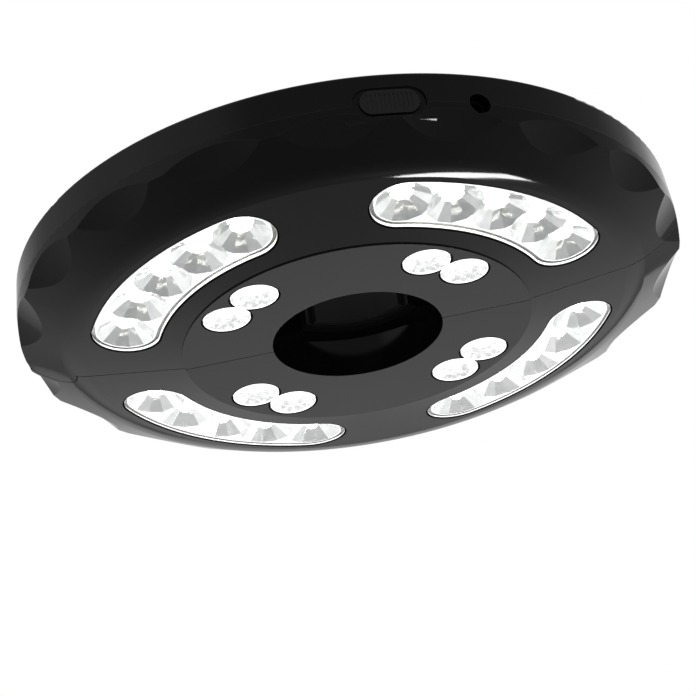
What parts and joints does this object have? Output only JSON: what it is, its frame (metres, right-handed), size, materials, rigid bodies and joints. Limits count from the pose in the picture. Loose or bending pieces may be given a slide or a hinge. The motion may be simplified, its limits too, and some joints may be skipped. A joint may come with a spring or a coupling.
{
  "type": "umbrella light",
  "caption": "Ring-shaped lamp of two hinged half discs that close round a pole, with cup-lit windows, sprung clamp jaws and fold-out hooks.",
  "frame": {"origin": "centre of the pole hole in the plane of the flat underside", "axes": "+Z along the pole away from the lamps, +X along the seam towards the opening end, +Y from the near half to the far half"},
  "size_m": [0.2122, 0.2122, 0.036],
  "materials": {
    "black_shell": "glossy moulded black",
    "black_fitting": "semi-gloss moulded black",
    "clear_lens": "clear moulded",
    "bright_reflector": "metallised plastic",
    "circuit_board": "solder mask",
    "lamp": "encapsulated lamp",
    "rubber_pad": "soft rubber",
    "cell_jacket": "plain sleeve",
    "black_insulator": "moulded",
    "catch_plastic": "natural acetal",
    "steel": "nickel-plated"
  },
  "bodies": {
    "half_a": {"lower_shell_a": "black_shell", "top_cover_a": "black_shell", "arc_lens_1": "clear_lens", "arc_lens_2": "clear_lens", "arc_reflector_1": "bright_reflector", "arc_reflector_2": "bright_reflector", "twin_lens_1": "clear_lens", "twin_lens_2": "clear_lens", "lamp_board_a": "circuit_board", "lamps_a": "lamp", "control_board": "circuit_board", "tact_switch": "steel", "charging_socket": "black_insulator", "cells_a": "cell_jacket", "battery_contacts_a": "steel", "jaw_springs_a": "steel", "hinge_pin": "steel", "link_cable": "black_insulator", "case_screws_a": "steel", "board_screws_a": "steel"},
    "half_b": {"lower_shell_b": "black_shell", "top_cover_b": "black_shell", "arc_lens_3": "clear_lens", "arc_lens_4": "clear_lens", "arc_reflector_3": "bright_reflector", "arc_reflector_4": "bright_reflector", "twin_lens_3": "clear_lens", "twin_lens_4": "clear_lens", "lamp_board_b": "circuit_board", "lamps_b": "lamp", "cells_b": "cell_jacket", "battery_contacts_b": "steel", "jaw_springs_b": "steel", "snap_catch": "catch_plastic", "case_screws_b": "steel", "board_screws_b": "steel"},
    "power_button": {"power_button": "black_fitting", "switch_plunger": "black_fitting"},
    "jaw_a": {"clamp_jaw_a": "black_fitting", "jaw_pad_a": "rubber_pad"},
    "jaw_b": {"clamp_jaw_b": "black_fitting", "jaw_pad_b": "rubber_pad"},
    "hook_a": {"hanging_hook_a": "black_fitting"},
    "hook_b": {"hanging_hook_b": "black_fitting"},
    "door_a": {"battery_door_a": "black_shell"},
    "door_b": {"battery_door_b": "black_shell"}
  },
  "joints": [
    {"name": "hinge_open", "type": "hinge", "parent": "half_a", "child": "half_b", "pos_m": [-0.0985, 0, 0.0205], "axis": [0, 0, 1], "range_deg": [0, 40], "deforming": ["snap_catch", "link_cable"]},
    {"name": "button_press", "type": "slide", "parent": "half_a", "child": "power_button", "axis": [-0.2588, 0.9659, 0], "range_m": [0, 0.0005], "stiffness_N_per_m": 1500},
    {"name": "jaw_a_slide", "type": "slide", "parent": "half_a", "child": "jaw_a", "axis": [0, 1, 0], "range_m": [-0.002, 0.01], "stiffness_N_per_m": 600, "deforming": ["jaw_springs_a"]},
    {"name": "jaw_b_slide", "type": "slide", "parent": "half_b", "child": "jaw_b", "axis": [0, -1, 0], "range_m": [-0.002, 0.01], "stiffness_N_per_m": 600, "deforming": ["jaw_springs_b"]},
    {"name": "hook_a_fold", "type": "hinge", "parent": "half_a", "child": "hook_a", "pos_m": [0, -0.0482, 0.0342], "axis": [1, 0, 0], "range_deg": [0, 90]},
    {"name": "hook_b_fold", "type": "hinge", "parent": "half_b", "child": "hook_b", "pos_m": [0, 0.0482, 0.0342], "axis": [-1, 0, 0], "range_deg": [0, 90]},
    {"name": "door_a_lift", "type": "slide", "parent": "half_a", "child": "door_a", "axis": [0, 0, 1], "range_m": [0, 0.03]},
    {"name": "door_b_lift", "type": "slide", "parent": "half_b", "child": "door_b", "axis": [0, 0, 1], "range_m": [0, 0.03]}
  ]
}
